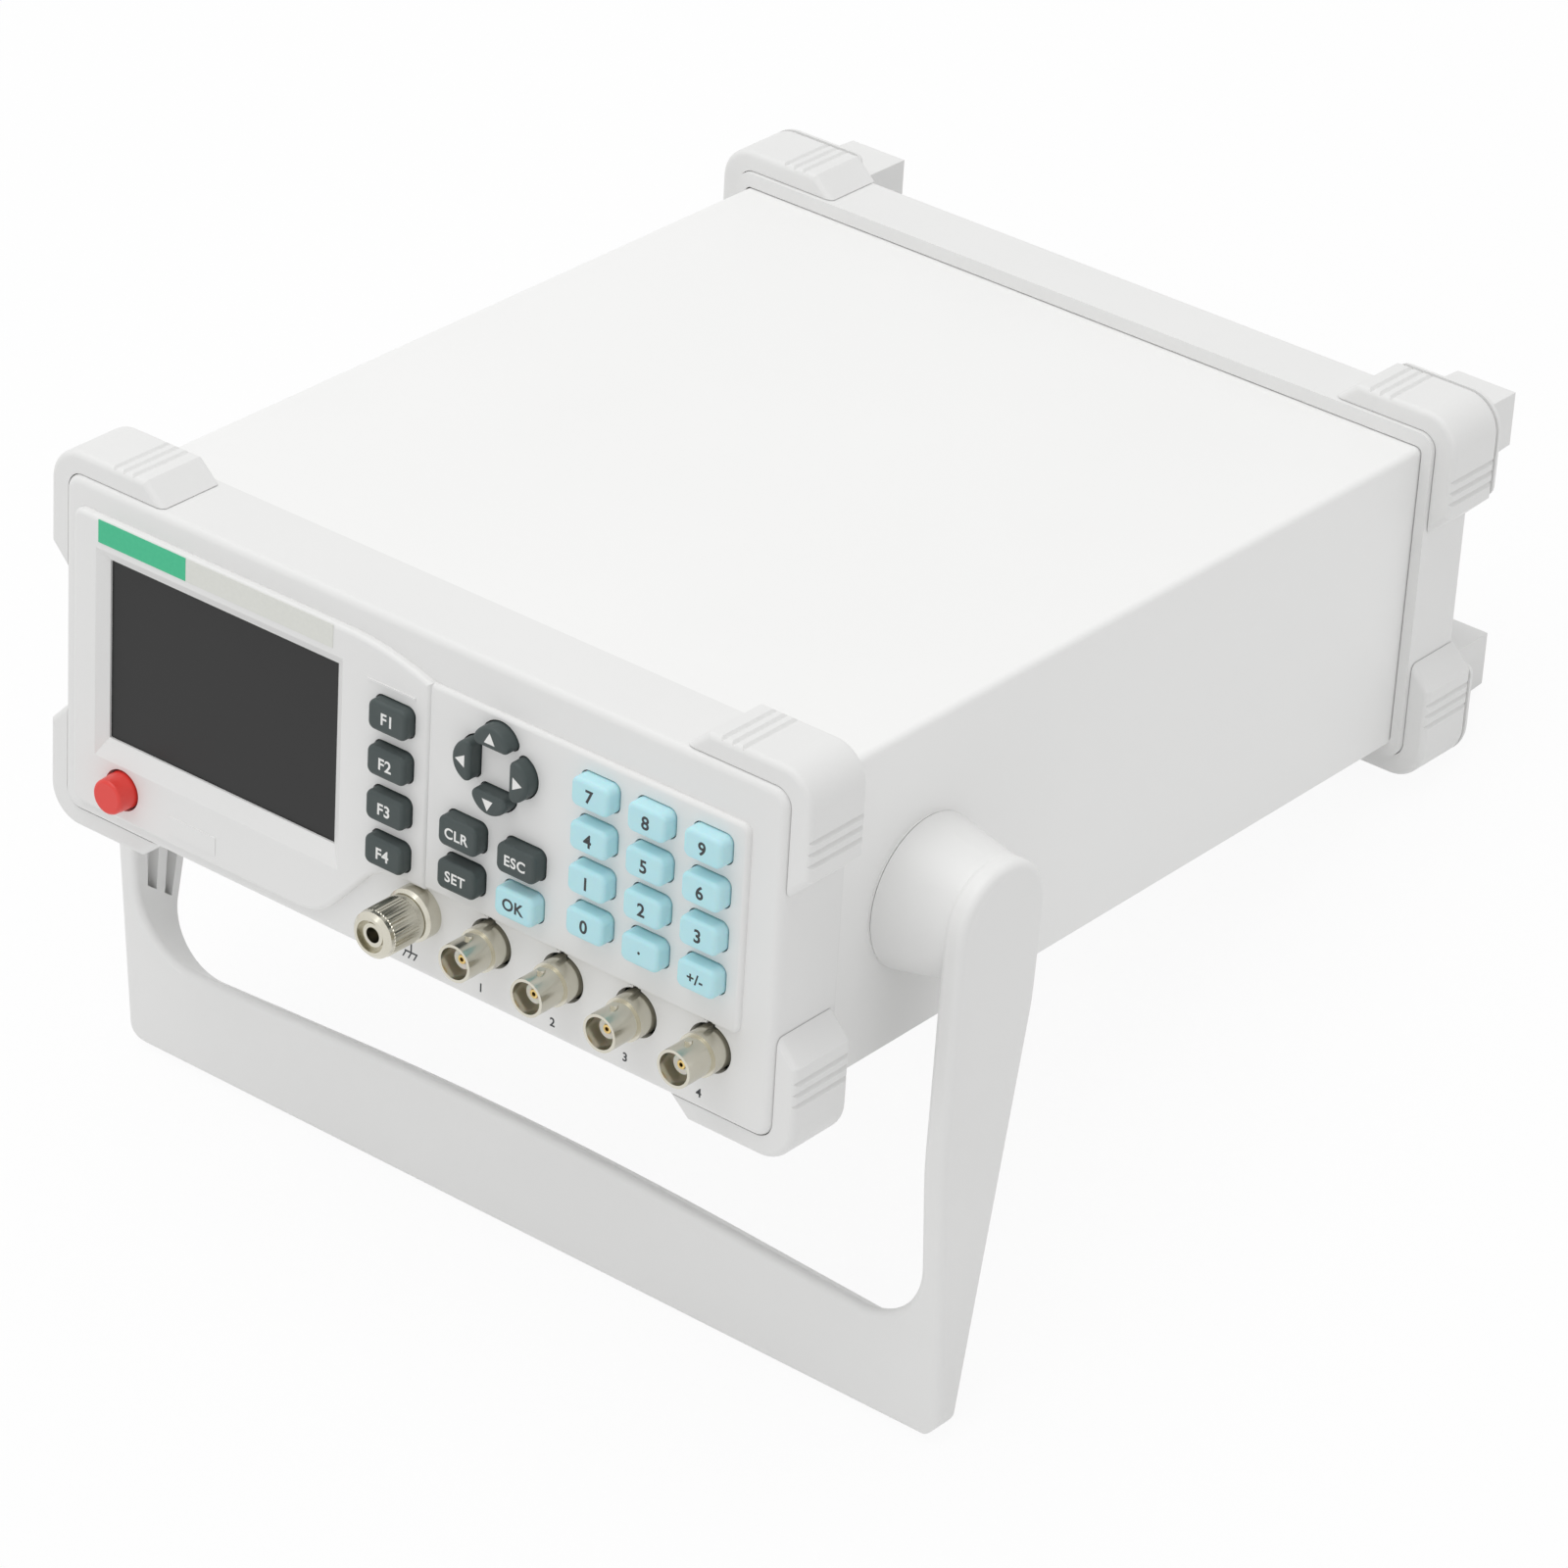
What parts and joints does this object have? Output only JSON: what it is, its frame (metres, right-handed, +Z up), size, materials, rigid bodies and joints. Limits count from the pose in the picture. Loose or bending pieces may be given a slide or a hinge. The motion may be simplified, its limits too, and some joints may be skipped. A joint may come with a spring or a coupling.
{
  "type": "component tester",
  "caption": "Bench component tester in a white case with a screen, keypad, coaxial test jacks and a swing-down carry handle that props up the front.",
  "frame": {"origin": "under the middle of the part's box, on the floor it stands on", "axes": "+Y from the front panel to the back along the floor, +Z up, +X to the right seen from the front; the case is tilted up on its handle"},
  "size_m": [0.264, 0.3152, 0.1951],
  "materials": {
    "shell_plastic": "fine satin mould grain",
    "bumper_plastic": "fine satin mould grain",
    "handle_plastic": "fine satin mould grain",
    "painted_sheet": "smooth powder paint",
    "screen_glass": "polished",
    "black_plastic": "matt",
    "red_plastic": "satin",
    "key_dark": "silicone matt",
    "key_blue": "silicone matt",
    "circuit_board": "solder mask",
    "core_steel": "varnished",
    "brass": "turned",
    "zinc_steel": "zinc plated",
    "nickel": "nickel plated",
    "white_insulator": "smooth",
    "gilt": "gold plated"
  },
  "bodies": {
    "case": {"front_bezel": "shell_plastic", "screen_window": "screen_glass", "lcd_module": "black_plastic", "front_board": "circuit_board", "tact_switches": "black_plastic", "power_switch": "black_plastic", "board_screws": "zinc_steel", "bnc_shells": "nickel", "bnc_insulators": "white_insulator", "bnc_contacts": "gilt", "terminal_plate": "zinc_steel", "terminal_nuts": "nickel", "ground_post_stud": "nickel", "top_cover": "painted_sheet", "bottom_tray": "painted_sheet", "rear_bezel": "shell_plastic", "rear_panel": "painted_sheet", "case_screws": "zinc_steel", "front_bumpers": "bumper_plastic", "rear_bumpers": "bumper_plastic", "hub_cores": "black_plastic", "hub_washers": "black_plastic", "hub_bolts": "zinc_steel", "board_standoffs": "brass", "main_board": "circuit_board", "power_board": "circuit_board", "transformer": "core_steel", "mains_inlet": "black_plastic", "inlet_pins": "nickel", "serial_port": "nickel"},
    "key_f1": {"key_f1": "key_dark"},
    "key_f2": {"key_f2": "key_dark"},
    "key_f3": {"key_f3": "key_dark"},
    "key_f4": {"key_f4": "key_dark"},
    "key_clear": {"key_clear": "key_dark"},
    "key_menu": {"key_menu": "key_dark"},
    "key_back": {"key_back": "key_dark"},
    "key_enter": {"key_enter": "key_blue"},
    "key_up": {"key_up": "key_dark"},
    "key_left": {"key_left": "key_dark"},
    "key_down": {"key_down": "key_dark"},
    "key_right": {"key_right": "key_dark"},
    "key_7": {"key_7": "key_blue"},
    "key_8": {"key_8": "key_blue"},
    "key_9": {"key_9": "key_blue"},
    "key_4": {"key_4": "key_blue"},
    "key_5": {"key_5": "key_blue"},
    "key_6": {"key_6": "key_blue"},
    "key_1": {"key_1": "key_blue"},
    "key_2": {"key_2": "key_blue"},
    "key_3": {"key_3": "key_blue"},
    "key_0": {"key_0": "key_blue"},
    "key_dot": {"key_dot": "key_blue"},
    "key_sign": {"key_sign": "key_blue"},
    "power_button": {"power_button": "red_plastic"},
    "handle": {"carry_handle": "handle_plastic"},
    "post_washer": {"ground_post_washer": "nickel"},
    "post_nut": {"ground_post_nut": "nickel"},
    "fuse_drawer": {"fuse_drawer": "black_plastic", "fuse": "screen_glass"}
  },
  "joints": [
    {"name": "key_f1_press", "type": "slide", "parent": "case", "child": "key_f1", "axis": [0, 0.926, -0.3775], "range_m": [0, 0.001], "stiffness_N_per_m": 500},
    {"name": "key_f2_press", "type": "slide", "parent": "case", "child": "key_f2", "axis": [0, 0.926, -0.3775], "range_m": [0, 0.001], "stiffness_N_per_m": 500},
    {"name": "key_f3_press", "type": "slide", "parent": "case", "child": "key_f3", "axis": [0, 0.926, -0.3775], "range_m": [0, 0.001], "stiffness_N_per_m": 500},
    {"name": "key_f4_press", "type": "slide", "parent": "case", "child": "key_f4", "axis": [0, 0.926, -0.3775], "range_m": [0, 0.001], "stiffness_N_per_m": 500},
    {"name": "key_clear_press", "type": "slide", "parent": "case", "child": "key_clear", "axis": [0, 0.926, -0.3775], "range_m": [0, 0.001], "stiffness_N_per_m": 500},
    {"name": "key_menu_press", "type": "slide", "parent": "case", "child": "key_menu", "axis": [0, 0.926, -0.3775], "range_m": [0, 0.001], "stiffness_N_per_m": 500},
    {"name": "key_back_press", "type": "slide", "parent": "case", "child": "key_back", "axis": [0, 0.926, -0.3775], "range_m": [0, 0.001], "stiffness_N_per_m": 500},
    {"name": "key_enter_press", "type": "slide", "parent": "case", "child": "key_enter", "axis": [0, 0.926, -0.3775], "range_m": [0, 0.001], "stiffness_N_per_m": 500},
    {"name": "key_up_press", "type": "slide", "parent": "case", "child": "key_up", "axis": [0, 0.926, -0.3775], "range_m": [0, 0.001], "stiffness_N_per_m": 500},
    {"name": "key_left_press", "type": "slide", "parent": "case", "child": "key_left", "axis": [0, 0.926, -0.3775], "range_m": [0, 0.001], "stiffness_N_per_m": 500},
    {"name": "key_down_press", "type": "slide", "parent": "case", "child": "key_down", "axis": [0, 0.926, -0.3775], "range_m": [0, 0.001], "stiffness_N_per_m": 500},
    {"name": "key_right_press", "type": "slide", "parent": "case", "child": "key_right", "axis": [0, 0.926, -0.3775], "range_m": [0, 0.001], "stiffness_N_per_m": 500},
    {"name": "key_7_press", "type": "slide", "parent": "case", "child": "key_7", "axis": [0, 0.926, -0.3775], "range_m": [0, 0.001], "stiffness_N_per_m": 500},
    {"name": "key_8_press", "type": "slide", "parent": "case", "child": "key_8", "axis": [0, 0.926, -0.3775], "range_m": [0, 0.001], "stiffness_N_per_m": 500},
    {"name": "key_9_press", "type": "slide", "parent": "case", "child": "key_9", "axis": [0, 0.926, -0.3775], "range_m": [0, 0.001], "stiffness_N_per_m": 500},
    {"name": "key_4_press", "type": "slide", "parent": "case", "child": "key_4", "axis": [0, 0.926, -0.3775], "range_m": [0, 0.001], "stiffness_N_per_m": 500},
    {"name": "key_5_press", "type": "slide", "parent": "case", "child": "key_5", "axis": [0, 0.926, -0.3775], "range_m": [0, 0.001], "stiffness_N_per_m": 500},
    {"name": "key_6_press", "type": "slide", "parent": "case", "child": "key_6", "axis": [0, 0.926, -0.3775], "range_m": [0, 0.001], "stiffness_N_per_m": 500},
    {"name": "key_1_press", "type": "slide", "parent": "case", "child": "key_1", "axis": [0, 0.926, -0.3775], "range_m": [0, 0.001], "stiffness_N_per_m": 500},
    {"name": "key_2_press", "type": "slide", "parent": "case", "child": "key_2", "axis": [0, 0.926, -0.3775], "range_m": [0, 0.001], "stiffness_N_per_m": 500},
    {"name": "key_3_press", "type": "slide", "parent": "case", "child": "key_3", "axis": [0, 0.926, -0.3775], "range_m": [0, 0.001], "stiffness_N_per_m": 500},
    {"name": "key_0_press", "type": "slide", "parent": "case", "child": "key_0", "axis": [0, 0.926, -0.3775], "range_m": [0, 0.001], "stiffness_N_per_m": 500},
    {"name": "key_dot_press", "type": "slide", "parent": "case", "child": "key_dot", "axis": [0, 0.926, -0.3775], "range_m": [0, 0.001], "stiffness_N_per_m": 500},
    {"name": "key_sign_press", "type": "slide", "parent": "case", "child": "key_sign", "axis": [0, 0.926, -0.3775], "range_m": [0, 0.001], "stiffness_N_per_m": 500},
    {"name": "power_press", "type": "slide", "parent": "case", "child": "power_button", "axis": [0, 0.926, -0.3775], "range_m": [0, 0.003], "stiffness_N_per_m": 500},
    {"name": "handle_swing", "type": "hinge", "parent": "case", "child": "handle", "pos_m": [0, -0.07851, 0.12464], "axis": [1, 0, 0], "range_deg": [-230, 60]},
    {"name": "post_turn", "type": "hinge", "parent": "case", "child": "post_washer", "pos_m": [0.00467, -0.14461, 0.12539], "axis": [0, -0.926, 0.3775], "range_deg": [0, 1440]},
    {"name": "post_travel", "type": "slide", "parent": "post_washer", "child": "post_nut", "axis": [0, -0.926, 0.3775], "range_m": [0, 0.0032]},
    {"name": "drawer_slide", "type": "slide", "parent": "case", "child": "fuse_drawer", "axis": [0, 0.926, -0.3775], "range_m": [0, 0.014]}
  ],
  "couplings": [
    {"joint": "post_turn", "follows": "post_travel", "rad_per_m": 7854}
  ]
}
